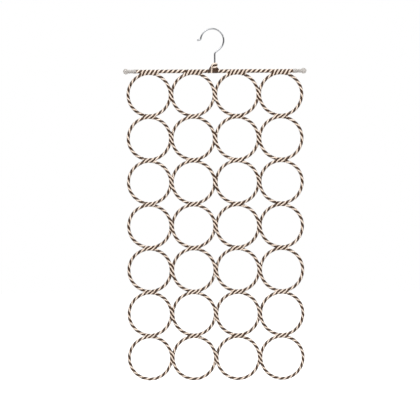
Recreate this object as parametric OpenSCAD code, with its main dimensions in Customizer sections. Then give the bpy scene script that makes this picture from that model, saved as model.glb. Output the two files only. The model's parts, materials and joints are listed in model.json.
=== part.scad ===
// Scarf hanger: a swivel hook on a wound bar, from which a curtain of wound wire rings hangs.
// Millimetres. +Z is up, X runs along the bar, and the front faces -Y.
// The origin is the rail seat: the highest point inside the hook's arc.

/* [Rings] */
// Rows of rings below the bar
ring_rows = 7; // [2:1:7]
// Rings side by side in a row
ring_cols = 4; // [2:1:4]
// Diameter of a ring at the middle of its wire
ring_d = 84.5; // [70:0.5:100]
// Diameter of the wire that a ring is bent from
wire_d = 2.8; // [2:0.1:3.4]
// Free space between two wires that are lashed side by side
wire_gap = 0.7; // [0.4:0.1:1.5]

/* [Wound strips] */
// Thickness of the plastic strip that everything is wound with
strip_t = 1.6; // [1:0.1:2]
// Length of the lashing that ties two rings together
lash_len = 30; // [24:1:34]
// Turns that a lashing between two rows has
row_lash_turns = 3; // [2:1:4]
// Turns that a lashing between two rings of a row has
side_lash_turns = 2; // [1:1:3]
// Length of the lashing that ties a ring to the bar
bar_lash_len = 40; // [30:1:46]
// Turns that a lashing on the bar has
bar_lash_turns = 5; // [3:1:6]
// Free space between one turn of a strip and the next
turn_gap = 0.55; // [0.45:0.05:1]

/* [Bar] */
// Diameter of the steel bar inside its winding
bar_d = 4.4; // [3.6:0.1:6]
// Length of winding that shows on the bar outside the last lashing
bar_tail = 11.5; // [6:0.5:30]
// Depth that the bar reaches into an end cap
bar_in_cap = 14; // [11:0.5:15]

/* [End caps] */
// Diameter of an end cap's neck
neck_d = 7.4; // [6.6:0.1:9]
// Length of an end cap's neck
neck_len = 10; // [6:0.5:14]
// Diameter of an end cap's ball
ball_d = 11.5; // [9:0.5:16]

/* [Hook] */
// Diameter of the hook's wire
hook_d = 3.5; // [3:0.1:4.5]
// Diameter of the hook's arc, measured inside its wire
hook_inner_d = 42.7; // [36:0.1:56]
// Sideways distance from the rail seat to the shank
hook_offset = 5; // [0:0.5:8]
// Height from the rail seat down to the middle of the bar
hook_drop = 83.4; // [78:0.1:110]
// Angle below the horizontal at which the arc meets the throat
throat_angle = 52; // [48:1:58]
// Radius of the bend between the throat and the shank
neck_bend_r = 7; // [5:0.5:9]
// Radius of the outward bend at the hook's tip
tip_bend_r = 3; // [2.5:0.5:5]
// Diameter of the bead on the hook's tip
bead_d = 4.6; // [4:0.1:6]

/* [Swivel socket] */
// Outside diameter of the socket that holds the hook
socket_d = 8.2; // [7.4:0.1:10]
// Height of the socket above the middle of the bar
socket_h = 16.2; // [13:0.1:20]
// Thickness of the collar that keeps the hook's head in
collar_t = 5; // [3:0.5:6]
// Diameter of the upset head on the shank
head_d = 5.6; // [5:0.1:6]
// Thickness of the upset head
head_t = 2; // [1.5:0.1:3]
// Turns of strip round the socket
hub_turns = 3; // [2:1:4]

/* [Hidden] */
$fn = 96;
swivel_fit = 0.08;   // radial, shank in its collar
head_play = 0.2;     // round the head and above it
slip_fit = 0.05;     // radial, a wire or the bar in the winding round it
wrap_fit = 0.1;      // least space between a lashing and what it goes round
butt_gap = 0.3;      // between the end of a winding and the next one
points_round_end = 4; // corners of a lashing's loop on each round end
hub_points = 8;      // corners of a turn round the socket
tip_start = 172;     // where the arc ends and the tip bend starts, from +X
tip_sweep = 80;      // how far the tip bends outwards
tip_len = 2.4;       // from the tip bend to the bead
corner = 0.4;        // rounding and chamfers on turned ends
bend_blend = 0.03;   // how proud of the wire the ball stands that blends two bends together

ring_r = ring_d / 2;
wire_r = wire_d / 2;
cover_r = wire_r + strip_t;
bar_r = bar_d / 2;
bar_cover_r = bar_r + strip_t;
hook_r = hook_d / 2;
hook_arc_r = hook_inner_d / 2 + hook_r;
socket_r = socket_d / 2;
half_apart = (wire_d + wire_gap) / 2;
ring_pitch = ring_d + 2 * half_apart;
bar_to_wire = bar_r + wire_gap + wire_r;

function col_x(c) = hook_offset + (c - (ring_cols + 1) / 2) * ring_pitch;
function row_z(r) = -hook_drop - bar_to_wire - ring_r - (r - 1) * ring_pitch;

winding_end = (ring_cols - 1) / 2 * ring_pitch + bar_lash_len / 2 + bar_tail;
cap_start = winding_end + butt_gap;
bar_half = cap_start + bar_in_cap;
ball_centre = cap_start + neck_len + sqrt(pow(ball_d / 2, 2) - pow(neck_d / 2, 2));

rows = [1 : ring_rows];
cols = [1 : ring_cols];

chrome = "#c9ccce";
steel = "#9a9c9b";
cream = "#ebd9ca";
brown = "#4b3420";
clear = "#dcd8d2";

// How far a ring has curved away from its nearest tangent line at a distance s from the touching point
function ring_drop(s) = ring_r - sqrt(ring_r * ring_r - s * s);

// A lashing is a flat strip that winds round two wires. In the plane across its own axis, each turn
// is a belt round two circles: circle 0 lies up the local u axis, and circle 1 down it. The belt has
// points_round_end corners on each circle, and its inner face clears the wire by wrap_fit.
// two = [[distance from the middle, radius, 1 if that wire is a ring and 0 if it is straight], ...]
belt_points = 2 * points_round_end;
belt_step = 180 / (points_round_end - 1);
function belt_side(k) = floor((k % belt_points) / points_round_end);
function belt_angle(k) = 180 * belt_side(k) - 90 + belt_step * (k % points_round_end);
function belt_r(wire) = (wire[1] + wrap_fit) / cos(belt_step / 2);
function belt_corner(two, s, k, lift) =
    let (side = belt_side(k), wire = two[side], a = belt_angle(k), r = belt_r(wire) + lift)
    [s, r * sin(a), (1 - 2 * side) * (wire[0] + wire[2] * ring_drop(s)) + r * cos(a)];

// The four corners of the strip at step i of a lashing: inner pair first, then the outer pair
function strip_width(len, turns) = len / turns - turn_gap;
function strip_section(two, len, turns, i) =
    let (k = i + points_round_end - 1,
         s = -len / 2 + len * i / (turns * belt_points),
         half = strip_width(len, turns) / 2,
         lo = max(-len / 2, s - half),
         hi = min(len / 2, s + half))
    [belt_corner(two, lo, k, 0), belt_corner(two, hi, k, 0),
     belt_corner(two, hi, k, strip_t), belt_corner(two, lo, k, strip_t)];
function lashing_sections(two, len, turns) =
    [for (i = [0 : turns * belt_points]) strip_section(two, len, turns, i)];

// A turn round the socket: a regular loop that climbs by one pitch
hub_low = bar_cover_r + butt_gap;
hub_len = socket_h - hub_low;
hub_in = (socket_r + wrap_fit) / cos(180 / hub_points);
function hub_corner(i, z, r) = let (a = 90 + 360 * i / hub_points) [r * cos(a), r * sin(a), z];
function hub_section(i) =
    let (z = hub_low + hub_len * i / (hub_turns * hub_points),
         half = (hub_len / hub_turns - turn_gap) / 2,
         lo = max(hub_low, z - half),
         hi = min(hub_low + hub_len, z + half))
    [hub_corner(i, lo, hub_in), hub_corner(i, hi, hub_in),
     hub_corner(i, hi, hub_in + strip_t), hub_corner(i, lo, hub_in + strip_t)];
function hub_sections() = [for (i = [0 : hub_turns * hub_points]) hub_section(i)];

// Least distance, on corner points, between the strip's upper edge and the lower edge one turn on
function turn_clearance(sections, per_turn) =
    min([for (i = [0 : len(sections) - 1 - per_turn], j = [-1 : 1])
            if (i + per_turn + j < len(sections))
                norm(sections[i][1] - sections[i + per_turn + j][0])]);

// One unbroken strip through a list of four-cornered sections
module strip(sections) {
    n = len(sections);
    points = [for (section = sections) each section];
    walls = [for (i = [0 : n - 2], j = [0 : 3])
        let (a = 4 * i + j, b = 4 * i + (j + 1) % 4)
        each [[a, b, b + 4], [a, b + 4, a + 4]]];
    last = 4 * (n - 1);
    ends = [[0, 2, 1], [0, 3, 2], [last, last + 1, last + 2], [last, last + 2, last + 3]];
    polyhedron(points, concat(walls, ends), convexity = 8);
}

ring_pair = [[half_apart, wire_r, 1], [half_apart, wire_r, 1]];
bar_pair = [[0, bar_r, 0], [bar_to_wire, wire_r, 1]];
row_lash = lashing_sections(ring_pair, lash_len, row_lash_turns);
side_lash = lashing_sections(ring_pair, lash_len, side_lash_turns);
bar_lash = lashing_sections(bar_pair, bar_lash_len, bar_lash_turns);
echo(least_gap_between_turns_of_a_row_lashing = turn_clearance(row_lash, belt_points));
echo(least_gap_between_turns_of_a_side_lashing = turn_clearance(side_lash, belt_points));
echo(least_gap_between_turns_of_a_bar_lashing = turn_clearance(bar_lash, belt_points));
echo(least_gap_between_turns_of_the_hub_lashing = turn_clearance(hub_sections(), hub_points));

// A bent round wire in the XZ plane: r is the bend's radius, a0 and a1 are its ends from +X
module bend(r, wire, a0, a1) {
    rotate([90, 0, 0])
        rotate([0, 0, a0])
            rotate_extrude(angle = a1 - a0)
                translate([r, 0]) circle(wire);
}

// A round wire that starts at p and runs for length l towards angle a in the XZ plane
module run(p, a, l, wire) {
    translate([p[0], 0, p[1]])
        rotate([0, 90 - a, 0])
            cylinder(r = wire, h = l);
}

arc_centre = [0, -hook_inner_d / 2];
throat_heading = 270 - throat_angle;
throat_start = arc_centre + hook_arc_r * [cos(throat_angle), -sin(throat_angle)];
neck_side = neck_bend_r * (1 - cos(throat_angle));
throat_len = (hook_offset - throat_start[0] + neck_side) / cos(throat_heading);
throat_end = throat_start + throat_len * [cos(throat_heading), sin(throat_heading)];
neck_centre = [hook_offset + neck_bend_r, throat_end[1] - neck_bend_r * sin(throat_angle)];
tip_end = arc_centre + hook_arc_r * [cos(tip_start), sin(tip_start)];
tip_centre = arc_centre + (hook_arc_r + tip_bend_r) * [cos(tip_start), sin(tip_start)];
tip_from = tip_start - 180;
tip_to = tip_from - tip_sweep;
tip_heading = tip_to - 90;
tip_out = tip_centre + tip_bend_r * [cos(tip_to), sin(tip_to)];
bead_centre = tip_out + tip_len * [cos(tip_heading), sin(tip_heading)];
head_top = socket_h - collar_t - head_play;

module at(p) {
    translate([p[0], 0, p[1]]) children();
}

module hook() {
    shank_low = -hook_drop + head_top;
    color(chrome) {
        at(arc_centre) bend(hook_arc_r, hook_r, -throat_angle, tip_start);
        run(throat_start, throat_heading, throat_len, hook_r);
        at(neck_centre) bend(neck_bend_r, hook_r, 180 - throat_angle, 180);
        at([hook_offset, shank_low]) cylinder(r = hook_r, h = neck_centre[1] - shank_low);
        at(tip_centre) bend(tip_bend_r, hook_r, tip_to, tip_from);
        run(tip_out, tip_heading, tip_len, hook_r);
        for (p = [throat_start, throat_end, [hook_offset, neck_centre[1]], tip_end, tip_out])
            at(p) sphere(hook_r + bend_blend);
        at(bead_centre) sphere(d = bead_d);
        at([hook_offset, shank_low - head_t])
            rotate_extrude()
                polygon([[0, 0], [head_d / 2 - corner, 0], [head_d / 2, corner],
                         [head_d / 2, head_t - corner], [head_d / 2 - corner, head_t], [0, head_t]]);
    }
}

module hook_socket() {
    color(steel)
        translate([hook_offset, 0, -hook_drop])
            difference() {
                cylinder(r = socket_r, h = socket_h);
                translate([0, 0, -1]) cylinder(d = head_d + 2 * head_play, h = 1 + socket_h - collar_t);
                cylinder(r = hook_r + swivel_fit, h = socket_h + 1);
                rotate([0, 90, 0]) cylinder(r = bar_r + slip_fit, h = socket_d + 2, center = true);
            }
}

module top_bar() {
    color(steel)
        translate([hook_offset, 0, -hook_drop])
            rotate([0, 90, 0])
                rotate_extrude()
                    polygon([[0, -bar_half], [bar_r - corner, -bar_half], [bar_r, corner - bar_half],
                             [bar_r, bar_half - corner], [bar_r - corner, bar_half], [0, bar_half]]);
}

// Made along +X from the middle of the bar; the bore is open towards the bar and closed in the ball
module end_cap() {
    rotate([0, 90, 0])
        rotate_extrude()
            difference() {
                union() {
                    translate([0, cap_start]) square([neck_d / 2, neck_len + ball_d / 4]);
                    intersection() {
                        translate([0, ball_centre]) circle(d = ball_d);
                        translate([0, cap_start]) square([ball_d, 2 * ball_d + neck_len]);
                    }
                }
                translate([-1, cap_start - 1]) square([1 + bar_r + slip_fit, 1 + bar_in_cap + butt_gap]);
            }
}

module end_cap_left() {
    color(clear, 0.6) translate([hook_offset, 0, -hook_drop]) mirror([1, 0, 0]) end_cap();
}

module end_cap_right() {
    color(clear, 0.6) translate([hook_offset, 0, -hook_drop]) end_cap();
}

// The bar's own winding shows between the lashings, and makes room for the socket's foot
module bar_winding() {
    color(cream)
        translate([hook_offset, 0, -hook_drop])
            difference() {
                rotate([0, 90, 0]) cylinder(r = bar_cover_r, h = 2 * winding_end, center = true);
                rotate([0, 90, 0]) cylinder(r = bar_r + slip_fit, h = 2 * winding_end + 2, center = true);
                cylinder(r = socket_r + slip_fit, h = bar_cover_r + 1);
                for (c = cols)
                    translate([col_x(c) - hook_offset, 0, 0])
                        cube([bar_lash_len + 2 * butt_gap, 4 * bar_cover_r, 4 * bar_cover_r], center = true);
            }
}

module hub_lashing() {
    color(brown) translate([hook_offset, 0, -hook_drop]) strip(hub_sections());
}

module bar_lashing(c) {
    color(brown) translate([col_x(c), 0, -hook_drop]) strip(bar_lash);
}

module ring_wires(r) {
    color(steel)
        for (c = cols)
            translate([col_x(c), 0, row_z(r)])
                rotate([90, 0, 0])
                    rotate_extrude() translate([ring_r, 0]) circle(wire_r);
}

// Lashings between the rings of one row: their axis is upright, and they lean the other way
module side_lashing(r) {
    color(brown)
        for (c = [1 : ring_cols - 1])
            translate([col_x(c) + ring_pitch / 2, 0, row_z(r)])
                rotate([0, -90, 0]) strip(side_lash);
}

// Lashings that hang row r + 1 from row r
module row_lashing(r) {
    color(brown)
        for (c = cols)
            translate([col_x(c), 0, row_z(r) - ring_pitch / 2]) strip(row_lash);
}

// Space that a lashing takes at one side of a ring, cut out of the ring's own winding
module lashing_space(len, angle) {
    rotate([0, -angle, 0])
        translate([ring_r / 2, -2 * cover_r, -len / 2 - butt_gap])
            cube([ring_r, 4 * cover_r, len + 2 * butt_gap]);
}

module ring_cover(r, c) {
    color(cream)
        translate([col_x(c), 0, row_z(r)])
            difference() {
                rotate([90, 0, 0])
                    rotate_extrude()
                        translate([ring_r, 0])
                            difference() {
                                circle(cover_r);
                                circle(wire_r + slip_fit);
                            }
                lashing_space(r == 1 ? bar_lash_len : lash_len, 90);
                if (r < ring_rows) lashing_space(lash_len, -90);
                if (c > 1) lashing_space(lash_len, 180);
                if (c < ring_cols) lashing_space(lash_len, 0);
            }
}

hook();
hook_socket();
top_bar();
end_cap_left();
end_cap_right();
bar_winding();
hub_lashing();
for (c = cols)
    bar_lashing(c);
for (r = rows)
    ring_wires(r);
for (r = rows)
    side_lashing(r);
for (r = [1 : ring_rows - 1])
    row_lashing(r);
for (r = rows, c = cols)
    ring_cover(r, c);
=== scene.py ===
# %% [markdown]
# # A scarf hanger: rings wound with plastic strip
#
# The real object is a curtain of 28 steel rings that hangs from a chromed swivel hook. Every ring
# is wound with brown and cream plastic strip, and where two rings touch, one common winding ties
# them. Nearly all that the eye sees is therefore strip, laid side by side at a constant slant.
#
# So this lesson spends its effort on one idea: work out the line that a strip follows, and let a
# Geometry Nodes tree lay a strip of the right section along every such line. The steel parts come
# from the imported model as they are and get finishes, and the end caps are turned from a profile.

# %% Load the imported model
import json
import math

import bmesh
import bpy
import numpy as np
from mathutils import Matrix, Vector


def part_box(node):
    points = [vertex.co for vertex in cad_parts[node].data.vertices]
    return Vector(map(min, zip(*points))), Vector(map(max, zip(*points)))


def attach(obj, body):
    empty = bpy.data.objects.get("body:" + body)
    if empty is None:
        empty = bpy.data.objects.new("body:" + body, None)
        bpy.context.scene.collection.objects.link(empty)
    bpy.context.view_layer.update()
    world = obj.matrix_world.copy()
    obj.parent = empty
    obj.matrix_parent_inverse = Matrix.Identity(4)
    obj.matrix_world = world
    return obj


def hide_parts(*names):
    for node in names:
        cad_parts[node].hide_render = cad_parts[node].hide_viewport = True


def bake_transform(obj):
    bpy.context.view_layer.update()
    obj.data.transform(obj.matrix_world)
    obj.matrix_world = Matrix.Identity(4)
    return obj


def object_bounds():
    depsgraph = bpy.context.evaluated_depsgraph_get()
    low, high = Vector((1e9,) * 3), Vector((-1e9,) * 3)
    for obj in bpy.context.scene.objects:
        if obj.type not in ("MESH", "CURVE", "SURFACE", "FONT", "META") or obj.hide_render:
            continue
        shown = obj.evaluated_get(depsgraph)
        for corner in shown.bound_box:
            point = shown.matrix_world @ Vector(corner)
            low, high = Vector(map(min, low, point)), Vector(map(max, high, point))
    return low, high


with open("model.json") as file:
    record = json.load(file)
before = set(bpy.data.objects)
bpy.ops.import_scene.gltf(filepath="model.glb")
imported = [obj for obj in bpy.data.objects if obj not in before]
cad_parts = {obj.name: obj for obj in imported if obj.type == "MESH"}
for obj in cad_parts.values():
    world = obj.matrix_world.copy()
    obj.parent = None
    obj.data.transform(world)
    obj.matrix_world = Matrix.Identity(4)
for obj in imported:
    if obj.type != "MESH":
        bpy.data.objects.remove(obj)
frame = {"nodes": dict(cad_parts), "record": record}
cad_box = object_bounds()

# %% [markdown]
# ## Measure the frame
#
# The looks have to follow the model, so no place is typed in twice. The middle of each ring comes
# from the opening that the record states for it, and the radii come from the boxes of the nodes:
# a ring wire's depth is its thickness, a cover's depth is the thickness over the strip.

# %% Ring centres, wire and cover radii
MM = 0.001
FRONT, UP, RIGHT = np.array([0.0, -1.0, 0.0]), np.array([0.0, 0.0, 1.0]), np.array([1.0, 0.0, 0.0])

openings = {o["name"]: o["box_m"] for o in frame["record"]["physics"]["openings"]}
ring_centre = {}
for name, (low, high) in openings.items():
    if name.startswith("ring_"):
        row, column = (int(part) for part in name.split("_")[1:])
        ring_centre[row, column] = (np.array(low) + np.array(high)) / 2
ROWS = max(row for row, column in ring_centre)
COLUMNS = max(column for row, column in ring_centre)


def half_size(node):
    """Half the length of a node's box along X, Y and Z."""
    low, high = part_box(node)
    return (high - low) / 2


def middle(node):
    """The middle of a node's box."""
    low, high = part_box(node)
    return np.array((high + low) / 2)


wire_radius = half_size("ring_wires_row_1").y
ring_radius = half_size("ring_wires_row_1").z - wire_radius
strip_thickness = half_size("ring_cover_1_1").y - wire_radius
bar_radius = half_size("top_bar").y
bar_height = middle("top_bar")[2]
ring_pitch = ring_centre[1, 2][0] - ring_centre[1, 1][0]
lashing_half = half_size("side_lashing_row_1").z
bar_lashing_half = half_size("bar_lashing_1").x
bar_to_wire = bar_height - ring_centre[1, 1][2] - ring_radius
socket_radius = half_size("hook_socket").y
socket_middle_x = middle("hook_socket")[0]
socket_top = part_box("hook_socket")[1].z
print(f"rings {2 * ring_radius / MM:.1f} mm on the wire, {ring_pitch / MM:.1f} mm apart")
print(f"wire {2 * wire_radius / MM:.2f} mm, bar {2 * bar_radius / MM:.2f} mm")
print(f"lashings reach {lashing_half / MM:.1f} and {bar_lashing_half / MM:.1f} mm from their middles")

# %% [markdown]
# ## Two small helpers for node trees
#
# Node trees are easier to read as formulas. A `Value` wraps one socket, and adding or multiplying
# it makes the Math node that a person would have dragged in. Every other node goes through one
# method, which takes the node's type, what its sockets hold, and its settings by name.

# %% Node helpers


class Value:
    """One output socket that can be used in arithmetic."""

    def __init__(self, tree, socket):
        self.tree = tree
        self.socket = socket

    def math(self, operation, *others):
        inputs = dict(enumerate((self, *others)))
        return self.tree.node("ShaderNodeMath", inputs, operation=operation)

    def __add__(self, other):
        return self.math("ADD", other)

    def __mul__(self, other):
        return self.math("MULTIPLY", other)

    def __sub__(self, other):
        return self.math("SUBTRACT", other)

    def __rsub__(self, other):
        return (self * -1.0) + other

    def __getitem__(self, key):
        """Another output of the same node."""
        return Value(self.tree, self.socket.node.outputs[key])

    __radd__ = __add__
    __rmul__ = __mul__


class Tree:
    """A shader or geometry tree that is built by formula."""

    def __init__(self, tree):
        self.tree = tree
        self.tree.nodes.clear()

    def node(self, kind, inputs=None, **settings):
        """Adds a node and returns its first output, if it has one."""
        made = self.tree.nodes.new(kind)
        for name, value in settings.items():
            setattr(made, name, value)
        for key, value in (inputs or {}).items():
            if isinstance(value, Value):
                self.tree.links.new(value.socket, made.inputs[key])
            else:
                made.inputs[key].default_value = value
        return Value(self, made.outputs[0]) if len(made.outputs) else None


# %% [markdown]
# ## The tree that lays the strip
#
# The strip is soft extruded plastic, about 4 mm wide. Bent round the wire, its face is crowned and
# there is a groove beside each turn. The tree takes guide lines, turns them into curves, points
# each curve's normal away from the wire, and sweeps an egg-shaped section along them: a low arch
# above, a narrower foot below, where the turns crowd each other.
#
# Curve to Mesh does the sweep. Its Scale input is fed by an attribute of the guide line, which
# falls at the ends, so that an end thins out as it is tucked under the next winding. Two more
# attributes, the way along the strip and the way across it, go to the finished mesh as a map for
# the material. The sides of a strip are shaded smooth; its two ends, the only faces with more than
# four corners, stay flat.

# %% Build the strip tree
END_CORNERS = 5
strip_tree = bpy.data.node_groups.new("Lay strip along guide lines", "GeometryNodeTree")
for label, socket_type in (
    ("Geometry", "NodeSocketGeometry"),
    ("Strip width", "NodeSocketFloat"),
    ("Strip thickness", "NodeSocketFloat"),
    ("Arch height", "NodeSocketFloat"),
    ("Foot narrowing", "NodeSocketFloat"),
    ("Section points", "NodeSocketInt"),
    ("Finish", "NodeSocketMaterial"),
):
    strip_tree.interface.new_socket(label, in_out="INPUT", socket_type=socket_type)
strip_tree.interface.new_socket("Geometry", in_out="OUTPUT", socket_type="NodeSocketGeometry")


def build_section(t, given):
    """The strip's section: a unit circle, squeezed to a crowned face and a narrow foot."""
    width, thickness = given["Strip width"], given["Strip thickness"]
    arch, narrowing = given["Arch height"], given["Foot narrowing"]
    sizes = {"Resolution": given["Section points"], "Radius": 1.0}
    circle = t.node("GeometryNodeCurvePrimitiveCircle", sizes)
    across = t.node("ShaderNodeSeparateXYZ", {"Vector": t.node("GeometryNodeInputPosition")})
    circle = store(t, circle, "strip_across", across)
    above = across["Y"].math("MAXIMUM", 0.0)
    below = (across["Y"] * -1.0).math("MAXIMUM", 0.0)
    side = across * width * 0.5 * (1 - below * narrowing)
    height = thickness * 0.5 - arch + above * arch - below * (thickness - arch)
    place = t.node("ShaderNodeCombineXYZ", {"X": height, "Y": side})
    return t.node("GeometryNodeSetPosition", {"Geometry": circle, "Position": place})


def store(t, geometry, name, value):
    """Keeps a value on the points, under a name that a material can read."""
    inputs = {"Geometry": geometry, "Name": name, "Value": value}
    return t.node("GeometryNodeStoreNamedAttribute", inputs, data_type="FLOAT", domain="POINT")


def named(t, name, data_type):
    """Reads an attribute by its name."""
    return t.node("GeometryNodeInputNamedAttribute", {"Name": name}, data_type=data_type)["Attribute"]


def vector_math(t, operation, inputs):
    """One step of arithmetic on vectors."""
    return t.node("ShaderNodeVectorMath", inputs, operation=operation)


def square_to_tangent(t, direction):
    """The part of a direction that is square to the curve, at length 1."""
    tangent = t.node("GeometryNodeInputTangent")
    leaning = vector_math(t, "DOT_PRODUCT", {0: direction, 1: tangent})["Value"]
    excess = vector_math(t, "SCALE", {0: tangent, "Scale": leaning})
    rest = vector_math(t, "SUBTRACT", {0: direction, 1: excess})
    return vector_math(t, "NORMALIZE", {0: rest})


def build_strip_tree():
    t = Tree(strip_tree)
    given = t.node("NodeGroupInput")
    curves = t.node("GeometryNodeMeshToCurve", {"Mesh": given["Geometry"]})
    facing = square_to_tangent(t, named(t, "outward", "FLOAT_VECTOR"))
    turned = t.node("GeometryNodeSetCurveNormal", {"Curve": curves, "Normal": facing}, mode="FREE")
    marked = store(t, turned, "strip_along", t.node("GeometryNodeSplineParameter")["Length"])
    sweep = {
        "Curve": marked, "Profile Curve": build_section(t, given),
        "Scale": named(t, "fullness", "FLOAT"), "Fill Caps": True,
    }
    swept = t.node("GeometryNodeCurveToMesh", sweep)
    corners = t.node("GeometryNodeInputMeshFaceNeighbors")
    compared = {2: corners, 3: END_CORNERS}
    on_side = t.node("FunctionNodeCompare", compared, data_type="INT", operation="LESS_THAN")
    smoothed = t.node("GeometryNodeSetShadeSmooth", {"Geometry": swept, "Shade Smooth": on_side})
    real = t.node("GeometryNodeRealizeInstances", {"Geometry": smoothed})
    done = t.node("GeometryNodeSetMaterial", {"Geometry": real, "Material": given["Finish"]})
    t.node("NodeGroupOutput", {"Geometry": done})


build_strip_tree()
print(strip_tree.name, "has", len(strip_tree.nodes), "nodes")

# %% [markdown]
# ## Where a strip runs
#
# A winding goes round a core: one wire, or two wires side by side like a belt round two pulleys.
# Cut across, the core's outline is two arcs and the two straight lines that touch both. One
# function walks a given share of that outline and says where it got to, and which way is out.
#
# `across` points to the right of the winding's direction as seen from the front, and `deep` points
# at the viewer, who looks along +Y. All windings on the hanger turn the same way.

# %% Walk round a core
ONE_CORE = 1e-7
TINY = 1e-9


def outline_of(reach_a, radius_a, reach_b, radius_b):
    """Angle where the touching line leaves arc A, that line's length, and half the way round."""
    gap = np.maximum(reach_a - reach_b, TINY)
    single = reach_a - reach_b < ONE_CORE
    leave = np.where(single, math.pi / 2, np.arccos(np.clip((radius_b - radius_a) / gap, -1, 1)))
    line = np.where(single, 0.0, np.sqrt(np.maximum(gap**2 - (radius_a - radius_b) ** 2, 0)))
    half_round = radius_a * leave + line + radius_b * (math.pi - leave)
    return leave, line, half_round


def walk_round(share, reach_a, radius_a, reach_b, radius_b):
    """Place (across, deep) and outward direction after that share of a core's outline."""
    leave, line, half_round = outline_of(reach_a, radius_a, reach_b, radius_b)
    way = (share % 1.0) * 2 * half_round
    side = np.where(way < half_round, 1.0, -1.0)
    way = np.where(way < half_round, way, 2 * half_round - way)
    past_arc = way - radius_a * leave
    past_line = past_arc - line
    on_arc_b = leave + past_line / radius_b
    angle = np.where(past_arc < 0, way / radius_a, np.where(past_line < 0, leave, on_arc_b))
    on_line = np.clip(past_arc / np.maximum(line, TINY), 0, 1) * (past_arc > 0)
    reach = reach_a + (reach_b - reach_a) * on_line
    radius = radius_a + (radius_b - radius_a) * on_line
    place = np.stack([reach + radius * np.cos(angle), side * radius * np.sin(angle)], axis=-1)
    return place, np.stack([np.cos(angle), side * np.sin(angle)], axis=-1)


half_round_wire = outline_of(0.0, wire_radius, 0.0, wire_radius)[2]
print(f"half the way round a bare wire is {half_round_wire / MM:.2f} mm")

# %% [markdown]
# ## How steep a strip runs
#
# One stock of strip covers everything. Unroll a winding: `n` strips of width `w` cover an outline
# of length P with the lead L when 1/L² + 1/P² = 1/(n·w)². So the number of strips nearly sets the
# slant: four strips stand steep round the bar and a wire together, and run long on a single wire.
# Hands do not lay them quite edge to edge, so each kind of winding also has a figure for how close
# they lie: below 1 they overlap. Brown is laid over cream, so it shows a little wider.
#
# A winding is a guide line for each of its strips: places a short step apart, the way out at each
# place, and how full the strip is there.

# %% Slant of a winding, and the guide lines that carry it
STOCK_WIDTH = 4.0 * MM
SHOWN_WIDTH = {"brown": 4.6 * MM, "cream": 3.5 * MM}
STEP = 0.8 * MM
FEWEST_STEPS = 8


def turn_rate(band, outline):
    """Turns per length for strips that cover a band of that width, on a core of that outline."""
    return np.sqrt(np.maximum(1 / band**2 - 1 / outline**2, 0))


def turns_along(way, rate):
    """Turns since the middle of the way."""
    rate = np.broadcast_to(rate, way.shape)
    turns = np.concatenate([[0.0], np.cumsum((rate[1:] + rate[:-1]) / 2 * np.diff(way))])
    return turns - np.interp((way[0] + way[-1]) / 2, way, turns)


def smooth(t):
    """0 below 0, 1 above 1, and a soft step between."""
    t = np.clip(t, 0, 1)
    return t * t * (3 - 2 * t)


def run_of(start, end, step=STEP):
    """Even steps from start to end."""
    steps = max(int(round((end - start) / step)), FEWEST_STEPS)
    return np.linspace(start, end, steps + 1)


def place_on(axis, across, pair):
    """Turns (across, deep) pairs into places in space."""
    return axis + across * pair[:, :1] + FRONT * pair[:, 1:]


class Guides:
    """Guide lines for one piece: places, outward directions and fullness, joined into one mesh."""

    def __init__(self):
        self.places = []
        self.outward = []
        self.fullness = []
        self.edges = []
        self.count = 0

    def add(self, places, outward, fullness):
        size = len(places)
        self.places.append(places)
        self.outward.append(outward)
        self.fullness.append(np.broadcast_to(fullness, size))
        self.edges += [(self.count + i, self.count + i + 1) for i in range(size - 1)]
        self.count += size

    def mesh(self, name):
        mesh = bpy.data.meshes.new(name)
        mesh.from_pydata(np.concatenate(self.places).tolist(), self.edges, [])
        outward = mesh.attributes.new("outward", "FLOAT_VECTOR", "POINT")
        outward.data.foreach_set("vector", np.concatenate(self.outward).astype(np.float32).ravel())
        fullness = mesh.attributes.new("fullness", "FLOAT", "POINT")
        fullness.data.foreach_set("value", np.concatenate(self.fullness).astype(np.float32))
        return mesh


COLOURS = ("brown", "cream")


def both_colours():
    return {colour: Guides() for colour in COLOURS}


print(f"the strip is {STOCK_WIDTH / MM:.1f} mm wide, and brown shows {SHOWN_WIDTH['brown'] / MM:.1f} mm")

# %% [markdown]
# ## Colours
#
# The colours are written as they look in even light, and converted from screen values to the
# linear values that Blender works in.

# %% Colours


def linear(*screen):
    """Screen colour, 0 to 255, as the linear values that a shader takes."""
    values = [c / 255 for c in screen]
    return tuple(v / 12.92 if v <= 0.04045 else ((v + 0.055) / 1.055) ** 2.4 for v in values)


BROWN = linear(68, 45, 25)
BROWN_DARK = linear(50, 32, 17)
BROWN_WORN = linear(102, 74, 49)
CREAM = linear(239, 223, 208)
CREAM_SHADE = linear(222, 198, 177)
CREAM_WORN = linear(247, 237, 226)
CHROME = linear(160, 161, 163)
STEEL = linear(158, 157, 155)
CAP = linear(203, 198, 193)
print("cream is", tuple(round(v, 3) for v in CREAM), "in linear values")

# %% [markdown]
# ## Strip finish
#
# The tree's two attributes do the work here: noise stretched along the strip gives the lines that
# the die drew, slow noise gives the drift in tone, and the edges of the strip, where dust settles,
# lose some gloss. Lines that are rubbed most are lighter. The same lines feed a Bump node, so the
# gloss breaks up along them.

# %% Strip material
LINES_ALONG, LINES_ACROSS = 60.0, 9.0
LINE_DEPTH, LINE_BUMP = 0.12 * MM, 0.5
NOISE_MIDDLE = 0.5
DRIFT_SCALE, DRIFT_FROM = 45.0, 0.38
DRIFT_TONE, LINES_TONE = 2.2, 2.0
RUBBED_ABOVE, RUBBED_GAIN, RUBBED_SHARE = 0.60, 4.0, 0.5
EDGE_SHARPNESS = 6.0
LINES_HAZE, EDGE_HAZE = 0.22, 0.12
STRIP_IOR, STRIP_SHINE = 1.47, 0.36


def new_finish(name):
    finish = bpy.data.materials.new(name)
    finish.use_nodes = True
    return finish, Tree(finish.node_tree)


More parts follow.
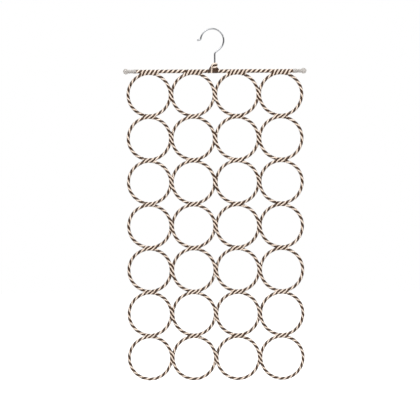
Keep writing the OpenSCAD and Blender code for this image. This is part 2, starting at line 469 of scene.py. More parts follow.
def noise(t, scale, detail, where=None):
    """Noise, over the object's own coordinates unless it is told where."""
    where = where or t.node("ShaderNodeTexCoord")["Object"]
    return t.node("ShaderNodeTexNoise", {"Vector": where, "Scale": scale, "Detail": detail})


def mix_colours(t, factor, first, second):
    made = t.node("ShaderNodeMix", {"Factor": factor}, data_type="RGBA")
    for key, value in ((6, first), (7, second)):
        if isinstance(value, Value):
            t.tree.links.new(value.socket, made.socket.node.inputs[key])
        else:
            made.socket.node.inputs[key].default_value = (*value, 1.0)
    return made[2]


def principled(t, inputs):
    """A Principled shader with those inputs, joined to the material's output."""
    shader = t.node("ShaderNodeBsdfPrincipled", inputs)
    t.node("ShaderNodeOutputMaterial", {"Surface": shader})


def strip_finish(name, main, shade, worn, roughness):
    finish, t = new_finish(name)
    along = t.node("ShaderNodeAttribute", attribute_name="strip_along")["Fac"]
    across = t.node("ShaderNodeAttribute", attribute_name="strip_across")["Fac"]
    lines_at = t.node("ShaderNodeCombineXYZ", {"X": along * LINES_ALONG, "Y": across * LINES_ACROSS})
    lines = noise(t, scale=1.0, detail=3.0, where=lines_at)
    drift = noise(t, DRIFT_SCALE, detail=2.0)
    edge = across.math("ABSOLUTE").math("POWER", EDGE_SHARPNESS)
    tone = (drift - DRIFT_FROM) * DRIFT_TONE + (lines - NOISE_MIDDLE) * LINES_TONE
    toned = mix_colours(t, tone, main, shade)
    rubbed = (lines - RUBBED_ABOVE) * RUBBED_GAIN * (1 - edge)
    coloured = mix_colours(t, rubbed.math("MAXIMUM", 0.0) * RUBBED_SHARE, toned, worn)
    rough = roughness + (lines - NOISE_MIDDLE) * LINES_HAZE + edge * EDGE_HAZE
    bump = t.node("ShaderNodeBump", {"Strength": LINE_BUMP, "Distance": LINE_DEPTH, "Height": lines})
    shine = {"IOR": STRIP_IOR, "Specular IOR Level": STRIP_SHINE}
    principled(t, {"Base Color": coloured, "Roughness": rough, "Normal": bump, **shine})
    return finish


FINISH = {
    "brown": strip_finish("brown_strip", BROWN, BROWN_DARK, BROWN_WORN, roughness=0.34),
    "cream": strip_finish("cream_strip", CREAM, CREAM_SHADE, CREAM_WORN, roughness=0.33),
}
print("strip finishes:", [f.name for f in FINISH.values()])

# %% [markdown]
# ## From guide lines to a plain mesh
#
# Each piece is made the same way: the guide mesh gets the tree as a modifier, its inputs are set
# by socket identifier, the evaluated result is copied out as a plain mesh, and the guide object is
# dropped. The copy then rides on its body and stands for the nodes that it dresses. Brown and cream
# strips are separate pieces, because each colour is a material slot of its own.

# %% Make one strip piece
SECTION_POINTS = 12
ARCH = 0.72 * MM
FOOT_NARROWING = 0.35
SECTION = {
    "Strip thickness": strip_thickness,
    "Arch height": ARCH,
    "Foot narrowing": FOOT_NARROWING,
    "Section points": SECTION_POINTS,
}
input_of = {s.name: s.identifier for s in strip_tree.interface.items_tree if s.in_out == "INPUT"}


def new_object(name, data):
    """An object that shows that data, put in the scene."""
    made = bpy.data.objects.new(name, data)
    bpy.context.scene.collection.objects.link(made)
    return made


def lay_strip(name, guides, colour):
    mesh = guides.mesh(name + "_guides")
    holder = new_object(name + "_guides", mesh)
    modifier = holder.modifiers.new("strip", "NODES")
    modifier.node_group = strip_tree
    inputs = {"Strip width": SHOWN_WIDTH[colour], "Finish": FINISH[colour], **SECTION}
    for label, value in inputs.items():
        modifier[input_of[label]] = value
    bpy.context.view_layer.update()
    evaluated = holder.evaluated_get(bpy.context.evaluated_depsgraph_get())
    plain = bpy.data.meshes.new_from_object(evaluated)
    plain.name = name
    holder.modifiers.remove(modifier)
    bpy.data.objects.remove(holder)
    bpy.data.meshes.remove(mesh)
    piece = new_object(name, plain)
    return piece


def lay_pieces(stem, guides, body, nodes):
    """A brown and a cream piece that ride on a body and stand for its nodes."""
    for colour in COLOURS:
        piece = lay_strip(f"{stem}_{colour}", guides[colour], colour)
        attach(piece, body)
        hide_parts(*nodes)
        print(piece.name, "has", len(piece.data.polygons), "faces")


print("a strip's section has", SECTION_POINTS, "points")

# %% [markdown]
# ## One strip round a core
#
# `cover` lays one strip on a core: given how many turns it has made at each point of the axis, it
# finds its places there, half the strip's thickness above the core. `taper` thins a strip towards
# an end, where it is tucked under the next winding and sinks on to the wire.

# %% Lay one strip round a core
TUCKED, SPLICED = 0.25, 0.9


def taper(distance, over, thin=TUCKED):
    """1 away from an end, falling to thin at the end itself."""
    return thin + (1 - thin) * smooth(distance / over)


def cover(share, axis, across, core, fullness):
    """Places and outward directions of one strip that has turned by `share` along its core."""
    reach_a, radius_a, reach_b, radius_b = core
    lift = strip_thickness / 2 * fullness
    pair, out = walk_round(share, reach_a, radius_a + lift, reach_b, radius_b + lift)
    return place_on(axis, across, pair), place_on(np.zeros_like(axis), across, out)


print(f"a tucked end keeps {TUCKED:.0%} of the strip's size, a spliced one {SPLICED:.0%}")

# %% [markdown]
# ## Lashings between rings
#
# Where two rings touch, their bare wires run side by side for 30 mm and part slowly towards the
# ends, because each is an arc. The core is a belt round both: its half width is half the wires'
# distance, which the circle's own formula gives.
#
# At its ends a lashing is not cut off. Its strips run on round one of the two rings, as they do on
# the real hanger, and the other ring's cover slips in underneath. Because every winding turns the
# same way, it is always the same ring that gets them: the one to the left of the strip's travel
# where the lashing ends, and the one to the right where it starts. In the last few millimetres
# each strip therefore slides from the belt round both wires to the single wire that it stays on.
#
# These are the small functions that this needs. No two windings by hand come out alike, so each
# one is a little wider or closer, from a random series with a fixed seed.

# %% What a lashing is worked out from
RING_STRIPS, RING_LAID = 4, 0.965
HAND_SPREAD = 0.06
draw = np.random.RandomState(28)


def by_hand():
    """How much wider or closer than planned one winding came out."""
    return 1 + HAND_SPREAD * (draw.rand() - 0.5)


def sag(offset):
    """How far a ring's wire falls back from its tangent at that offset along it."""
    return ring_radius - np.sqrt(ring_radius**2 - offset**2)


def outline_round(radius):
    """The way round one core, over its strips."""
    return 2 * math.pi * (radius + strip_thickness)


def ring_keeper(key, offset, travel, across, side):
    """A ring that keeps the strips: its wire's places, its across directions and its radius."""
    angle = np.arcsin(offset / ring_radius)
    ring_across = np.outer(np.cos(angle), across) - side * np.outer(np.sin(angle), travel)
    return ring_centre[key] - side * ring_radius * ring_across, ring_across, wire_radius


def choose_strips(pairs, kept_at, count):
    """Which neighbouring strips lie nearest the kept core, and the phase that they have on it."""
    from_core = pairs - np.array([kept_at, 0.0])
    distance = np.hypot(*from_core.T)
    around = [[(first + j) % count for j in range(RING_STRIPS)] for first in range(count)]
    chosen = around[0] if count == RING_STRIPS else min(around, key=lambda group: distance[group].sum())
    heading = np.arctan2(from_core[chosen, 1], from_core[chosen, 0])
    spread = heading - 2 * math.pi * np.arange(RING_STRIPS) / RING_STRIPS
    mean = np.sum(np.exp(1j * spread) / distance[chosen] ** 2)
    return chosen, np.angle(mean) / (2 * math.pi)


print(f"a ring's wire falls back {sag(lashing_half) / MM:.1f} mm where its lashing ends")

# %% [markdown]
# ## Wind a lashing and hand it over
#
# `fan` is 0 where the strips go round both cores and 1 where they have reached the single one. It
# mixes the outlines, the bands and, for the strips that stay, the two places. A ring's wire has
# room for four strips: of a wider winding the four nearest ones stay, and the others drop out
# under them. Strips that crowd each other are pinched narrower.

# %% Wind a lashing
LASHING_STEP = 0.4 * MM
PINCH = 0.75
FAN_LENGTH = 8.5 * MM
DROP_BEFORE, DROP_LENGTH = 2.0 * MM, 5.0 * MM


def lash(guides, offset, axis, across, belt, keepers, strips, laid):
    """Winds strips round two cores and hands them over, at each end, to the core that keeps them.

    keepers are the core at the start and the one at the end. Returns, for both ends, the share of
    a turn at which each strip leaves, and its colour.
    """
    fan = smooth((abs(offset) - offset[-1] + FAN_LENGTH) / FAN_LENGTH)
    alone = outline_round(np.where(offset < 0, keepers[0][2], keepers[1][2]))
    reach_a, radius_a, reach_b, radius_b = belt
    over = strip_thickness
    together = 2 * outline_of(reach_a, radius_a + over, reach_b, radius_b + over)[2]
    outline = together * (1 - fan) + alone * fan
    band = STOCK_WIDTH * (strips * laid * (1 - fan) + RING_STRIPS * RING_LAID * fan)
    pinched = 1 - PINCH * (1 - laid / RING_LAID) * (1 - fan)
    turned = turns_along(offset, turn_rate(band * by_hand(), outline)) + draw.rand()
    lines = {i: cover(turned + i / strips, axis, across, belt, 1.0) for i in range(strips)}
    fullness = {i: np.ones(len(offset)) for i in range(strips)}
    leaving = []
    both_ends = ((-1, reach_a, keepers[0]), (1, reach_b, keepers[1]))
    for end, kept_reach, (core, core_across, radius) in both_ends:
        match = np.argmin(abs(offset - end * (offset[-1] - FAN_LENGTH / 2)))
        local = [places[match] - axis[match] for places, outward in lines.values()]
        pairs = np.array([(at @ across, at @ FRONT) for at in local])
        kept_at = np.broadcast_to(kept_reach, offset.shape)[match]
        chosen, phase = choose_strips(pairs, kept_at, strips)
        weight = (fan * (end * offset > 0))[:, None]
        single = (0.0, radius, 0.0, radius)
        left = []
        for place, index in enumerate(chosen):
            share = turned - turned[match] + phase + place / RING_STRIPS
            handed = cover(share, core, core_across, single, 1.0)
            lines[index] = tuple(a * (1 - weight) + b * weight for a, b in zip(lines[index], handed))
            left.append((share[-1] if end > 0 else share[0], COLOURS[index % 2]))
        leaving.append(left)
        for index in set(range(strips)) - set(chosen):
            to_end = offset[-1] - DROP_BEFORE - end * offset
            fullness[index] *= np.where(to_end < 0, 0, taper(to_end, DROP_LENGTH))
    for index, (places, outward) in lines.items():
        keep = fullness[index] > 0
        full = fullness[index][keep]
        sunk = places[keep] - outward[keep] * ((1 - full) * strip_thickness / 2)[:, None]
        guides[COLOURS[index % 2]].add(sunk, outward[keep], full * pinched[keep])
    return leaving


print(f"strips are handed over in {FAN_LENGTH / MM:.1f} mm")

# %% [markdown]
# ## Lay the lashings
#
# A side lashing stands upright between two neighbours and rides with their row. A row lashing lies
# between two rows. Its pieces are baked in place and ride on no body.

# %% Side lashings and row lashings
SIDE_STRIPS, SIDE_LAID = 6, 0.86
ROW_STRIPS, ROW_LAID = 6, 0.82
RIGHT_TIE, TOP_TIE, LEFT_TIE, BOTTOM_TIE = 0, 1, 2, 3
arc_starts = {}


def lash_rings(guides, first, second, travel, across, strips, laid, ties):
    """Lashing of two rings. The second ring keeps the strips at its start, the first at its end."""
    offset = run_of(-lashing_half, lashing_half, LASHING_STEP)
    apart = ring_pitch / 2 - ring_radius + sag(offset)
    axis = (ring_centre[first] + ring_centre[second]) / 2 + np.outer(offset, travel)
    keepers = [ring_keeper(key, offset, travel, across, side) for key, side in ((second, 1), (first, -1))]
    belt = (apart, wire_radius, -apart, wire_radius)
    at_start, at_end = lash(guides, offset, axis, across, belt, keepers, strips, laid)
    arc_starts[second, ties[1]] = [(0.5 - share, colour) for share, colour in at_start]
    arc_starts[first, ties[0]] = at_end


for row in range(1, ROWS + 1):
    guides = both_colours()
    for column in range(1, COLUMNS):
        pair = (row, column), (row, column + 1)
        lash_rings(guides, *pair, UP, RIGHT, SIDE_STRIPS, SIDE_LAID, (RIGHT_TIE, LEFT_TIE))
    lay_pieces(f"side_lashings_row_{row}", guides, f"row_{row}", [f"side_lashing_row_{row}"])

for row in range(1, ROWS):
    guides = both_colours()
    for column in range(1, COLUMNS + 1):
        pair = (row, column), (row + 1, column)
        lash_rings(guides, *pair, RIGHT, -UP, ROW_STRIPS, ROW_LAID, (BOTTOM_TIE, TOP_TIE))
    for colour in COLOURS:
        piece = lay_strip(f"row_lashings_{row}_{row + 1}_{colour}", guides[colour], colour)
        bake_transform(piece)
        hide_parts(f"row_lashing_{row}_{row + 1}")
print("the last row lashings have", len(piece.data.polygons), "faces of", colour)

# %% [markdown]
# ## Bar lashings
#
# The first row hangs on the bar. There four strips go round bar and wire together, with a lead of
# 16 mm, so that they stand steep. Where such a lashing starts its strips come from the ring, and
# where it ends they run on along the bar. It turns round the bar with its ring, so it rides with
# the first row.

# %% Bar lashings
BAR_LASH_STRIPS, BAR_LASH_LAID = 4, 0.88
bar_starts = {}


def lash_to_bar(guides, column):
    offset = run_of(-bar_lashing_half, bar_lashing_half, LASHING_STEP)
    axis = np.array([ring_centre[1, column][0], 0.0, bar_height]) + np.outer(offset, RIGHT)
    belt = (bar_to_wire + sag(offset), wire_radius, 0.0, bar_radius)
    bar_keeper = (axis, np.tile(-UP, (len(offset), 1)), bar_radius)
    keepers = [ring_keeper((1, column), offset, RIGHT, -UP, 1), bar_keeper]
    at_start, at_end = lash(guides, offset, axis, -UP, belt, keepers, BAR_LASH_STRIPS, BAR_LASH_LAID)
    arc_starts[(1, column), TOP_TIE] = [(0.5 - share, colour) for share, colour in at_start]
    bar_starts[column] = at_end


guides = both_colours()
for column in range(1, COLUMNS + 1):
    lash_to_bar(guides, column)
lay_pieces("bar_lashings", guides, "row_1", [f"bar_lashing_{column}" for column in range(1, COLUMNS + 1)])
print(len(arc_starts), "ring arcs start from a lashing")

# %% [markdown]
# ## Ring covers
#
# Each ring shows its own winding in the arcs between its lashings. Going round to the left, an arc
# starts with the strips that a lashing let go, at their own places and in their own colours. It
# ends under the next lashing, where the strips sink on to the wire and thin out. Between its ends
# a strip wanders by about a hundredth of a turn.

# %% Ring covers, one piece for each row and colour
TUCK, SPLICE = 7.0 * MM, 1.2 * MM
RING_TAPER, BAR_TAPER = TUCK * 0.7, TUCK * 0.6
WANDER = 0.012


def tie_half_angle(row, tie):
    length = bar_lashing_half if (row == 1 and tie == TOP_TIE) else lashing_half
    return math.asin(length / ring_radius)


def ring_ties(row, column):
    """The sides on which a ring is tied, in their order round it."""
    tied = {RIGHT_TIE: column < COLUMNS, TOP_TIE: True, LEFT_TIE: column > 1, BOTTOM_TIE: row < ROWS}
    return [tie for tie, there in tied.items() if there]


def wind_arc(guides, row, column, tie, next_tie):
    """Covers a ring from one tie to the next, to the left round the ring."""
    turn = 2 * math.pi if next_tie <= tie else 0.0
    begin = tie * math.pi / 2 + tie_half_angle(row, tie)
    finish = next_tie * math.pi / 2 + turn - tie_half_angle(row, next_tie)
    begin -= SPLICE / ring_radius
    finish += TUCK / ring_radius
    angle = run_of(begin, finish, STEP / ring_radius)
    way = (angle - begin) * ring_radius
    across = np.stack([np.cos(angle), np.zeros_like(angle), np.sin(angle)], axis=1)
    axis = ring_centre[row, column] + ring_radius * across
    fullness = taper(way[-1] - way, RING_TAPER) * taper(way, SPLICE, SPLICED)
    rate = turn_rate(RING_STRIPS * STOCK_WIDTH * RING_LAID * by_hand(), outline_round(wire_radius))
    single = (0.0, wire_radius, 0.0, wire_radius)
    for share, colour in arc_starts[(row, column), tie]:
        wander = WANDER * np.sin(way / (way[-1] / 2) * math.pi) * (draw.rand() * 2 - 1)
        turned = share + (way - SPLICE) * rate + wander
        places, outward = cover(turned, axis, across, single, fullness)
        guides[colour].add(places, outward, fullness)


for row in range(1, ROWS + 1):
    guides = both_colours()
    for column in range(1, COLUMNS + 1):
        ties = ring_ties(row, column)
        for tie, next_tie in zip(ties, ties[1:] + ties[:1]):
            wind_arc(guides, row, column, tie, next_tie)
    covers = [f"ring_cover_{row}_{column}" for column in range(1, COLUMNS + 1)]
    lay_pieces(f"ring_covers_row_{row}", guides, f"row_{row}", covers)

# %% [markdown]
# ## The bar's own winding
#
# Between the lashings the bar shows four strips: those that the lashing before let go, and new ones
# at the left end. At the socket they stop, and other strips take over. The outer ends thin out and
# sink into the end caps.

# %% The bar's own winding
BAR_STRIPS, BAR_LAID = 4, 0.93
HUB_LEFT, HUB_RIGHT = -6.0 * MM, 4.6 * MM
UNDER_LASHING = 9.0 * MM
IN_CAP, CAP_TAPER, CAP_THIN = 2.4 * MM, 4.3 * MM, 0.4
bar_rate = turn_rate(BAR_STRIPS * STOCK_WIDTH * BAR_LAID, outline_round(bar_radius))
low, high = (corner.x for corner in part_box("bar_winding"))


def wind_bar(guides, start, end, origin, starts, start_over=SPLICE, thin=SPLICED, end_over=BAR_TAPER):
    """Winds the bar from start to end, with the strips' shares given at the origin."""
    x = run_of(start, end)
    axis = np.stack([x, np.zeros_like(x), np.full_like(x, bar_height)], axis=1)
    fullness = taper(x - start, start_over, thin) * taper(end - x, end_over)
    core = (0.0, bar_radius, 0.0, bar_radius)
    for share, colour in starts:
        places, outward = cover(share + (x - origin) * bar_rate, axis, -UP, core, fullness)
        guides[colour].add(places, outward, fullness)


guides = both_colours()
centres = [ring_centre[1, column][0] for column in range(1, COLUMNS + 1)]
first_start = [(index / BAR_STRIPS, COLOURS[index % 2]) for index in range(BAR_STRIPS)]
first_end = centres[0] - bar_lashing_half + UNDER_LASHING
wind_bar(guides, low - IN_CAP, first_end, low, first_start, start_over=CAP_TAPER, thin=CAP_THIN)
for column in range(1, COLUMNS):
    origin = centres[column - 1] + bar_lashing_half
    start, end = origin - SPLICE, centres[column] - bar_lashing_half + UNDER_LASHING
    if start < socket_middle_x < end:
        wind_bar(guides, start, socket_middle_x + HUB_LEFT, origin, bar_starts[column])
        start = socket_middle_x + HUB_RIGHT
    wind_bar(guides, start, end, origin, bar_starts[column])
origin = centres[-1] + bar_lashing_half
wind_bar(guides, origin - SPLICE, high + IN_CAP, origin, bar_starts[COLUMNS], end_over=CAP_TAPER)
lay_pieces("bar_winding", guides, "bar", ["bar_winding"])
print(f"bar winding: lead {1 / bar_rate / MM:.1f} mm")

# %% [markdown]
# ## The hub
#
# Round the socket a brown and a cream strip climb side by side. Under them, brown strips go down
# the front, round the bar and up the back, and hold the socket's foot. One cream strip runs down
# the left of it all and one brown strip leaves the bar and passes behind. These few strips follow
# no rule, so each is a short list of points, in millimetres from the middle of the bar under the
# socket, that a smooth curve passes through.

# %% Strips of the hub
HUB_STRIPS = (
    # colour, closed, points (x, y, z), in the order in which they are laid
    ("brown", False, [
        (-2.5, -4.5, 7.2), (-2.6, -4.9, 4.0), (-2.7, -4.8, 0.6), (-2.7, -2.9, -2.6), (-2.6, 0, -3.5),
        (-2.5, 2.9, -2.6), (-2.5, 4.8, 0.6), (-2.5, 4.9, 4.0), (-2.4, 4.5, 7.2),
    ]),
    ("brown", False, [
        (1.3, -4.6, 7.2), (1.1, -5.0, 4.0), (1.0, -4.9, 0.6), (1.0, -3.0, -2.6), (1.1, 0, -3.5),
        (1.3, 3.0, -2.6), (1.5, 4.9, 0.6), (1.6, 5.0, 4.0), (1.7, 4.6, 7.2),
    ]),
    ("brown", True, [
        (5.0, 3.7, 0.0), (4.1, 2.5, -2.5), (3.8, 0, -3.4), (4.1, -2.5, -2.5), (5.0, -3.7, 0.0),
        (5.9, -2.6, 2.6), (6.4, 0, 3.7), (5.9, 2.6, 2.6),
    ]),
    ("brown", False, [
        (0.6, -4.3, 5.6), (3.2, -4.7, 5.2), (5.6, -3.6, 4.6), (7.0, -1.4, 4.4), (7.5, 1.2, 4.0),
        (7.1, 3.4, 2.4), (6.3, 4.0, -0.2), (5.6, 3.0, -2.2),
    ]),
    ("brown", False, [
        (-13.4, 2.4, -2.0), (-12.8, 0.4, -3.4), (-12.0, -2.4, -2.8), (-11.0, -4.0, -0.4),
        (-9.9, -3.6, 3.0), (-8.6, -2.2, 7.0), (-7.2, -0.4, 10.4), (-5.4, 2.6, 12.0),
        (-2.6, 5.3, 12.6), (1.0, 5.8, 12.4),
    ]),
    ("cream", False, [
        (3.2, -4.4, 14.6), (0.0, -5.4, 14.9), (-2.9, -5.2, 14.4), (-4.9, -4.0, 12.0), (-5.9, -3.5, 8.4),
        (-6.2, -3.6, 4.4), (-6.3, -3.5, 1.0), (-6.3, -2.4, -2.1), (-6.3, 0.4, -3.3), (-6.4, 2.8, -2.0),
        (-6.2, 3.6, 1.0), (-5.4, 3.9, 4.6), (-4.6, 4.2, 7.0),
    ]),
)
print(len(HUB_STRIPS), "strips laid by hand at the hub")

# %% [markdown]
# ## Curves for the hub
#
# The curve is of the kind that goes through every point it is given, which suits points that were
# placed one by one on a surface. The way out turns smoothly from the bar's, low down, to the socket's,
# high up, so that a strip doesn't twist. The two strips round the socket climb in a helix, and the
# cream one ends in a level quarter turn at the top.

# %% Lay the hub
CURVE_STEPS = 7
RISE_FROM, RISE_OVER = 1.0, 4.0
ASIDE_AT, ASIDE_OVER = 10.0, 4.5
HUB_LEAD, HUB_TURNS = 7.1 * MM, 1.35
TURN_STEP = 0.02
TOP_SHARE = 0.42
TURN_TAPER, HAND_TAPER = 5.0, 3.0
THIN_END = 0.4
hub = np.array([socket_middle_x, 0.0, bar_height])


def curve_through(points, closed):
    """A smooth curve through a few points."""
    points = np.array(points, float)
    if closed:
        around = np.vstack([points[-1:], points, points[:2]])
    else:
        before = 2 * points[:1] - points[1:2]
        after = 2 * points[-1:] - points[-2:-1]
        around = np.vstack([before, points, after])
    t = np.linspace(0, 1, CURVE_STEPS, endpoint=False)[:, None]
    pieces = []
    for a, b, c, d in zip(around, around[1:], around[2:], around[3:]):
        bend = 2 * a - 5 * b + 4 * c - d + t * (3 * (b - c) + d - a)
        pieces.append(b + 0.5 * t * (c - a + t * bend))
    return np.vstack([*pieces, points[:1] if closed else points[-1:]])


def unit(vectors):
    """Vectors at length 1."""
    return vectors / np.linalg.norm(vectors, axis=1)[:, None]


def hub_outward(places):
    """Away from the bar where a strip is low or far aside, and from the socket where it is high."""
    risen = smooth((places[:, 2] - RISE_FROM) / RISE_OVER)
    up = (risen * smooth((ASIDE_AT - abs(places[:, 0])) / ASIDE_OVER))[:, None]
    from_bar = unit(places * [0, 1, 1])
    from_socket = unit(places * [1, 1, 0])
    return unit(from_bar * (1 - up) + from_socket * up)


def thin_at_both_ends(length, over):
    """Fullness of a strip that is tucked in at both ends."""
    return taper(length, over, THIN_END) * taper(length[-1] - length, over, THIN_END)


def hub_turns(guides):
    """The two strips that climb round the socket, cream in front at the top.

    highest is where round the socket a strip ends its climb, and level how far it then runs on, in
    turns.
    """
    top = socket_top - bar_height - STOCK_WIDTH * TOP_SHARE
    for colour, highest, level in (("cream", 0.25, 0.25), ("brown", 0.75, 0.0)):
        turned = run_of(-HUB_TURNS, level, TURN_STEP)
        height = top + np.minimum(turned, 0) * HUB_LEAD
        angle = 2 * math.pi * (turned + highest)
        away = np.stack([-np.cos(angle), -np.sin(angle), np.zeros_like(angle)], axis=1)
        length = (turned - turned[0]) * outline_round(socket_radius)
        fullness = thin_at_both_ends(length, TURN_TAPER * MM)
        reach = socket_radius + strip_thickness / 2 * fullness
        guides[colour].add(hub + away * reach[:, None] + np.outer(height, UP), away, fullness)


guides = both_colours()
hub_turns(guides)
for colour, closed, points in HUB_STRIPS:
    line = curve_through(points, closed)
    length = np.concatenate([[0], np.cumsum(np.linalg.norm(np.diff(line, axis=0), axis=1))])
    fullness = 1.0 if closed else thin_at_both_ends(length, HAND_TAPER)
    guides[colour].add(hub + line * MM, hub_outward(line), fullness)
lay_pieces("hub_strips", guides, "bar", ["hub_lashing"])

# %% [markdown]
# ## Metal and plastic
#
# The hook is bright chrome, so its finish is little more than a mirror with a trace of haze and
# fine wear. The wires, bar and socket are plain drawn steel, seen only in the gaps. The caps are
# milky plastic: most light comes back from within it, and some goes through, but no image does.

# %% Metal and plastic finishes
WEAR_DETAIL, WEAR_MIDDLE = 4.0, 0.45
WEAR_TONE, WEAR_SHARE = 0.8, 0.25
WEAR_BUMP, WEAR_DEPTH = 0.05, 0.02 * MM
CLOUD_SCALE, CLOUD_DETAIL, CLOUD_TONE = 160.0, 3.0, 0.92
CLOUD_BUMP, CLOUD_DEPTH = 0.08, 0.05 * MM
CAP_ROUGH, CAP_HAZE = 0.3, 0.12
CAP_IOR, CAP_SHINE, CAP_CLEAR = 1.46, 0.25, 0.32


def darker(colour, share):
    """A colour at a share of its brightness."""
    return tuple(c * share for c in colour)


def metal_finish(name, colour, roughness, wear_scale, wear):
    finish, t = new_finish(name)
    worn = noise(t, wear_scale, WEAR_DETAIL)
    rough = roughness + (worn - WEAR_MIDDLE) * wear
    tone = mix_colours(t, worn * WEAR_SHARE, colour, darker(colour, WEAR_TONE))
    bump = t.node("ShaderNodeBump", {"Strength": WEAR_BUMP, "Distance": WEAR_DEPTH, "Height": worn})
    principled(t, {"Base Color": tone, "Metallic": 1.0, "Roughness": rough, "Normal": bump})
    return finish


def cap_finish():
    finish, t = new_finish("milky_cap")
    cloud = noise(t, CLOUD_SCALE, CLOUD_DETAIL)
    tone = mix_colours(t, cloud, CAP, darker(CAP, CLOUD_TONE))
    rough = CAP_ROUGH + cloud * CAP_HAZE
    bump = t.node("ShaderNodeBump", {"Strength": CLOUD_BUMP, "Distance": CLOUD_DEPTH, "Height": cloud})
    clear = {"IOR": CAP_IOR, "Specular IOR Level": CAP_SHINE, "Transmission Weight": CAP_CLEAR}
    principled(t, {"Base Color": tone, "Roughness": rough, "Normal": bump, **clear})
    return finish


def dress(node, finish):
    """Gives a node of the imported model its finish, in place."""
    for slot in frame["nodes"][node].material_slots:
        slot.material = finish


steel = metal_finish("drawn_steel", STEEL, roughness=0.32, wear_scale=400.0, wear=0.25)
cap_plastic = cap_finish()
chrome = metal_finish("bright_chrome", CHROME, roughness=0.07, wear_scale=220.0, wear=0.10)
dress("hook", chrome)
steel_nodes = ["hook_socket", "top_bar", *[f"ring_wires_row_{row}" for row in range(1, ROWS + 1)]]
for node in steel_nodes:
    dress(node, steel)
print("the hook is chrome,", len(steel_nodes), "nodes are drawn steel")

# %% [markdown]
# ## End caps
#
# The caps are pushed over the ends of the bar like thimbles: a thin sleeve reaches over the last
# turns of the winding, then come the neck and the ball. A cap could be put together from a tube
# and a sphere. Here it is turned from one profile, a list of distances along the bar and radii,
# because that gives one closed skin with a real wall, from the bore round the lip to the ball's tip.

# %% Turn the end caps
SLEEVE_LENGTH, SLEEVE_WALL, SLEEVE_PLAY = 6.5 * MM, 0.36 * MM, 0.05 * MM
NECK_RADIUS = 3.7 * MM
FLARE_START, FLARE_LENGTH = -1.2 * MM, 3.2 * MM
BORE_DEPTH, BORE_PLAY = 14.0 * MM, 0.1 * MM
MOUTH_START, MOUTH_END, MOUTH_RADIUS = 0.4 * MM, 3.0 * MM, 3.0 * MM
LIP_POINTS, FLARE_POINTS, BALL_POINTS, ROUND_STEPS = 9, 13, 33, 96
MERGE_WITHIN = 0.001 * MM
SHARP_ANGLE = math.radians(35.0)


def cap_profile(length, ball_radius):
    """Distances from the neck's start, towards the ball, and the radius at each."""
    inside = bar_radius + strip_thickness + SLEEVE_PLAY
    outside = inside + SLEEVE_WALL
    bore = bar_radius + BORE_PLAY
    bore_along = [BORE_DEPTH, BORE_DEPTH, MOUTH_END, MOUTH_END, MOUTH_START]
    bore_radii = [0, bore, bore, MOUTH_RADIUS, inside]
    lip_turn = np.linspace(0, math.pi, LIP_POINTS)
    lip_along = -SLEEVE_LENGTH - np.sin(lip_turn) * SLEEVE_WALL / 2
    lip_radii = inside + (1 - np.cos(lip_turn)) * SLEEVE_WALL / 2
    flare = np.linspace(0, 1, FLARE_POINTS)
    flare_radii = outside + (NECK_RADIUS - outside) * smooth(flare)
    ball_turn = np.linspace(math.asin(NECK_RADIUS / ball_radius), math.pi, BALL_POINTS)
    ball_along = length - ball_radius - np.cos(ball_turn) * ball_radius
    ball_radii = np.sin(ball_turn) * ball_radius
    along = np.concatenate([bore_along, lip_along, FLARE_START + flare * FLARE_LENGTH, ball_along])
    radii = np.concatenate([bore_radii, lip_radii, flare_radii, ball_radii])
    return along[:, None], radii[:, None]


def close_up(mesh):
    """Merges the doubled points at the poles and points all faces outwards."""
    shape = bmesh.new()
    shape.from_mesh(mesh)
    bmesh.ops.remove_doubles(shape, verts=shape.verts, dist=MERGE_WITHIN)
    bmesh.ops.recalc_face_normals(shape, faces=shape.faces)
    shape.to_mesh(mesh)
    shape.free()


def turn_profile(name, start, way, along, radii):
    """Turns a profile round the bar's axis, from start towards +X or -X."""
    angle = np.linspace(0, 2 * math.pi, ROUND_STEPS, endpoint=False)
    x = np.tile(start + way * along, (1, ROUND_STEPS))
    places = np.stack([x, radii * np.cos(angle), bar_height + radii * np.sin(angle)], axis=-1)
    corners = np.arange(x.size).reshape(x.shape)
    beside = np.roll(corners, -1, axis=1)
    faces = np.stack([corners[:-1], beside[:-1], beside[1:], corners[1:]], axis=-1)
    mesh = bpy.data.meshes.new(name)
    mesh.from_pydata(places.reshape(-1, 3).tolist(), [], faces.reshape(-1, 4).tolist())
    close_up(mesh)
    mesh.shade_smooth()
    mesh.set_sharp_from_angle(angle=SHARP_ANGLE)
    return mesh


for node, way in (("end_cap_left", -1), ("end_cap_right", 1)):
    low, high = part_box(node)
    neck_start = low.x if way > 0 else high.x
    profile = cap_profile(high.x - low.x, half_size(node).y)
    name = node + "_moulded"
    cap = new_object(name, turn_profile(name, neck_start, way, *profile))
    cap.data.materials.append(cap_plastic)
    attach(cap, "bar")
    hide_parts(node)
print("end caps:", len(cap.data.polygons), "faces each")

# %% [markdown]
# ## Floor and cards
#
# The photograph is a plain product shot: white all round, soft light from the front and above. The
# floor is pale and shows white to the camera and in reflections, but keeps the hanger's shadow.
#
# Chrome has no looks of its own, it shows what stands round it. In a white room it would vanish, so
# there are grey cards where a photographer would put them: one behind the camera and one on each
# side. They give the hook its dark lines, and the camera itself doesn't see them.

# %% Floor and cards
FLOOR_DROP, FLOOR_HALF = 0.16, 6.0
FLOOR_GREY, FLOOR_GLOW = 0.8, 0.55
CARD_GREY = 0.3
CARD_FOOT, CARD_HEAD = -0.8, 1.3
CARDS = (
    # name, where its two sides stand (x, y)
    ("card_behind_camera", (-1.6, -4.4), (1.6, -4.4)),
    ("card_left", (-2.5, -1.2), (-1.2, -3.0)),
    ("card_right", (1.2, -3.0), (2.5, -1.2)),
)


def grey(value):
    return (value, value, value, 1.0)


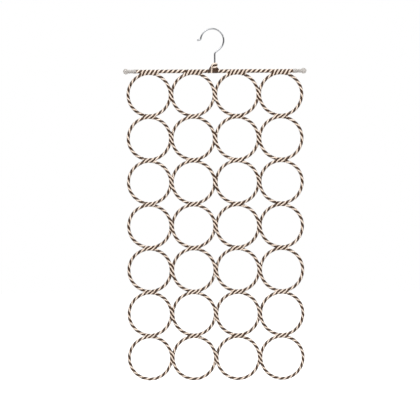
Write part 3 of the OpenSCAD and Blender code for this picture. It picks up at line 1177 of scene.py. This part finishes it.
def panel(name, corners, finish):
    mesh = bpy.data.meshes.new(name)
    mesh.from_pydata(corners, [], [(0, 1, 2, 3)])
    mesh.materials.append(finish)
    made = new_object(name, mesh)
    return made


def seen_directly(t):
    """1 for what the camera sees, in the open, in a reflection or through something clear."""
    path = t.node("ShaderNodeLightPath")
    seen = path["Is Camera Ray"].math("MAXIMUM", path["Is Glossy Ray"])
    return seen.math("MAXIMUM", path["Is Transmission Ray"])


def floor_finish():
    finish, t = new_finish("white_floor")
    matt = t.node("ShaderNodeBsdfDiffuse", {"Color": grey(FLOOR_GREY)})
    strength = seen_directly(t) * FLOOR_GLOW
    glow = t.node("ShaderNodeEmission", {"Color": grey(1.0), "Strength": strength})
    both = t.node("ShaderNodeAddShader", {0: matt, 1: glow})
    t.node("ShaderNodeOutputMaterial", {"Surface": both})
    return finish


def card_finish():
    finish, t = new_finish("grey_card")
    matt = t.node("ShaderNodeBsdfDiffuse", {"Color": grey(CARD_GREY)})
    t.node("ShaderNodeOutputMaterial", {"Surface": matt})
    return finish


floor_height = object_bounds()[0][2] - FLOOR_DROP
floor_sides = ((-1, -1), (1, -1), (1, 1), (-1, 1))
floor_corners = [(x * FLOOR_HALF, y * FLOOR_HALF, floor_height) for x, y in floor_sides]
panel("floor", floor_corners, floor_finish())
card_grey = card_finish()
for name, first, second in CARDS:
    foot = [(*first, CARD_FOOT), (*second, CARD_FOOT)]
    head = [(*second, CARD_HEAD), (*first, CARD_HEAD)]
    panel(name, foot + head, card_grey).visible_camera = False
print("a floor and", len(CARDS), "cards")

# %% [markdown]
# ## Lamps and world
#
# A large soft lamp from the upper left leads, a weaker one fills from the right, and a faint one
# behind draws a rim. Most of the light comes from the white world, which is a little brighter
# where it is seen than where it only lights.

# %% Lamps and world
LAMPS = (
    # name, place (m), size (m), power (W)
    ("key", (-1.0, -1.7, 1.7), (2.2, 1.8), 48),
    ("fill", (1.5, -1.7, 1.3), (2.0, 1.6), 24),
    ("rim", (0.3, 1.6, 0.8), (1.6, 1.2), 8),
)
WORLD_LIGHT = 0.74


def area_lamp(name, place, target, size, power):
    data = bpy.data.lights.new(name, "AREA")
    data.shape = "RECTANGLE"
    data.size, data.size_y = size
    data.energy = power
    lamp = new_object(name, data)
    lamp.location = place
    lamp.rotation_euler = (Vector(target) - Vector(place)).to_track_quat("-Z", "Y").to_euler()


def make_world():
    world = bpy.data.worlds.new("studio")
    bpy.context.scene.world = world
    world.use_nodes = True
    t = Tree(world.node_tree)
    strength = WORLD_LIGHT + seen_directly(t) * (1 - WORLD_LIGHT)
    sky = t.node("ShaderNodeBackground", {"Color": grey(1.0), "Strength": strength})
    t.node("ShaderNodeOutputWorld", {"Surface": sky})


object_middle = (cad_box[0] + cad_box[1]) / 2
for name, place, size, power in LAMPS:
    area_lamp(name, place, object_middle, size, power)
make_world()
print(len(LAMPS), "lamps, and a white world")

# %% [markdown]
# ## Camera
#
# The photograph looks at the hanger square on, from far enough that the rings keep one size. There
# the bar is level but the rings lean a little, as a real net hangs; a turn of a third of a degree
# lies between the two.

# %% Camera
SEEN_WIDTH = 0.8424
CAMERA_DISTANCE = 3.0
CAMERA_AIM = Vector((-0.006, 0.0, -0.3618))
CAMERA_TURN = math.radians(-0.3)
CAMERA_SIGHT = 30.0
SENSOR = 36.0

camera_data = bpy.data.cameras.new("camera")
camera_data.sensor_width = SENSOR
camera_data.lens = SENSOR * CAMERA_DISTANCE / SEEN_WIDTH
camera_data.clip_end = CAMERA_SIGHT
camera = new_object("camera", camera_data)
camera.matrix_world = (
    Matrix.Translation(CAMERA_AIM + Vector((0.0, -CAMERA_DISTANCE, 0.0)))
    @ Matrix.Rotation(math.pi / 2, 4, "X")
    @ Matrix.Rotation(CAMERA_TURN, 4, "Z")
)
bpy.context.scene.camera = camera
bpy.context.scene.view_settings.view_transform = "Standard"
print(f"the picture is {SEEN_WIDTH:.2f} m wide at the hanger")
